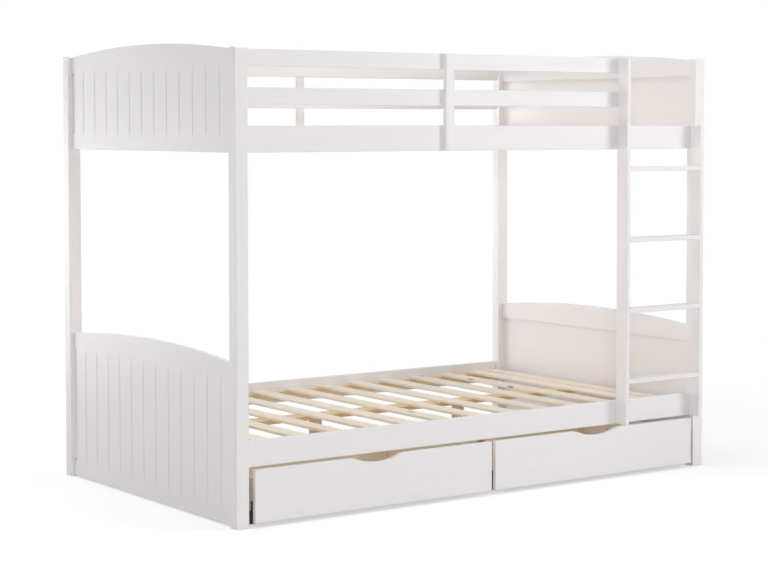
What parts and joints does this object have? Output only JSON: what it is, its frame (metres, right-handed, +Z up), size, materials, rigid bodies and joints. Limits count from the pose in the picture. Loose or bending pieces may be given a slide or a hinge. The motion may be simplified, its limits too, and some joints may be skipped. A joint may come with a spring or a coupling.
{
  "type": "bunk bed",
  "caption": "White bunk bed with arched grooved end boards, slatted bunks, guard rails, a fixed ladder and drawers that roll out on castors.",
  "frame": {"origin": "centre of the footprint on the floor", "axes": "+X along the bed towards the ladder end, -Y towards the ladder side, +Z up"},
  "size_m": [2.106, 1.321, 1.6105],
  "materials": {
    "white_lacquer": "satin white lacquer over pine with a faint grain",
    "white_panel": "satin white lacquer over smooth board",
    "natural_pine": "planed pale pine, unfinished",
    "castor_plastic": "moulded black plastic",
    "steel": "zinc-plated steel"
  },
  "bodies": {
    "frame": {"back_guard_mid_rail": "white_lacquer", "back_guard_stile": "white_lacquer", "back_guard_top_rail": "white_lacquer", "back_left_post": "white_lacquer", "back_right_post": "white_lacquer", "barrel_nuts": "steel", "bed_bolts": "steel", "centre_legs": "natural_pine", "dowels": "natural_pine", "front_guard_mid_rail": "white_lacquer", "front_guard_stile": "white_lacquer", "front_guard_top_rail": "white_lacquer", "front_left_post": "white_lacquer", "front_right_post": "white_lacquer", "ladder_left_upright": "white_lacquer", "ladder_right_upright": "white_lacquer", "ladder_rung_1": "white_lacquer", "ladder_rung_2": "white_lacquer", "ladder_rung_3": "white_lacquer", "ladder_rung_4": "white_lacquer", "lower_back_rail": "white_lacquer", "lower_centre_beam": "natural_pine", "lower_front_rail": "white_lacquer", "lower_left_arch_rail": "white_lacquer", "lower_left_bottom_rail": "white_lacquer", "lower_left_panel": "white_panel", "lower_right_arch_rail": "white_lacquer", "lower_right_bottom_rail": "white_lacquer", "lower_right_panel": "white_panel", "lower_slats": "natural_pine", "slat_cleats": "natural_pine", "upper_back_rail": "white_lacquer", "upper_centre_beam": "natural_pine", "upper_front_rail": "white_lacquer", "upper_left_arch_rail": "white_lacquer", "upper_left_bottom_rail": "white_lacquer", "upper_left_panel": "white_panel", "upper_right_arch_rail": "white_lacquer", "upper_right_bottom_rail": "white_lacquer", "upper_right_panel": "white_panel", "upper_slats": "natural_pine", "wood_screws": "steel"},
    "left_drawer": {"left_drawer_axles": "steel", "left_drawer_back": "natural_pine", "left_drawer_bottom": "natural_pine", "left_drawer_castors": "castor_plastic", "left_drawer_front": "white_lacquer", "left_drawer_left_side": "natural_pine", "left_drawer_right_side": "natural_pine"},
    "right_drawer": {"right_drawer_axles": "steel", "right_drawer_back": "natural_pine", "right_drawer_bottom": "natural_pine", "right_drawer_castors": "castor_plastic", "right_drawer_front": "white_lacquer", "right_drawer_left_side": "natural_pine", "right_drawer_right_side": "natural_pine"},
    "left_drawer_front_wheelset": {"left_drawer_front_wheels": "castor_plastic"},
    "left_drawer_back_wheelset": {"left_drawer_back_wheels": "castor_plastic"},
    "right_drawer_front_wheelset": {"right_drawer_front_wheels": "castor_plastic"},
    "right_drawer_back_wheelset": {"right_drawer_back_wheels": "castor_plastic"}
  },
  "joints": [
    {"name": "left_drawer_slide", "type": "slide", "parent": "frame", "child": "left_drawer", "axis": [0, -1, 0], "range_m": [0, 0.6]},
    {"name": "left_drawer_front_roll", "type": "hinge", "parent": "left_drawer", "child": "left_drawer_front_wheelset", "pos_m": [0, -0.5535, 0.0175], "axis": [1, 0, 0], "continuous": true},
    {"name": "left_drawer_back_roll", "type": "hinge", "parent": "left_drawer", "child": "left_drawer_back_wheelset", "pos_m": [0, -0.0785, 0.0175], "axis": [1, 0, 0], "continuous": true},
    {"name": "right_drawer_slide", "type": "slide", "parent": "frame", "child": "right_drawer", "axis": [0, -1, 0], "range_m": [0, 0.6]},
    {"name": "right_drawer_front_roll", "type": "hinge", "parent": "right_drawer", "child": "right_drawer_front_wheelset", "pos_m": [0, -0.5535, 0.0175], "axis": [1, 0, 0], "continuous": true},
    {"name": "right_drawer_back_roll", "type": "hinge", "parent": "right_drawer", "child": "right_drawer_back_wheelset", "pos_m": [0, -0.0785, 0.0175], "axis": [1, 0, 0], "continuous": true}
  ],
  "couplings": [
    {"joint": "left_drawer_front_roll", "follows": "left_drawer_slide", "rad_per_m": 57.143},
    {"joint": "left_drawer_back_roll", "follows": "left_drawer_slide", "rad_per_m": 57.143},
    {"joint": "right_drawer_front_roll", "follows": "right_drawer_slide", "rad_per_m": 57.143},
    {"joint": "right_drawer_back_roll", "follows": "right_drawer_slide", "rad_per_m": 57.143}
  ]
}
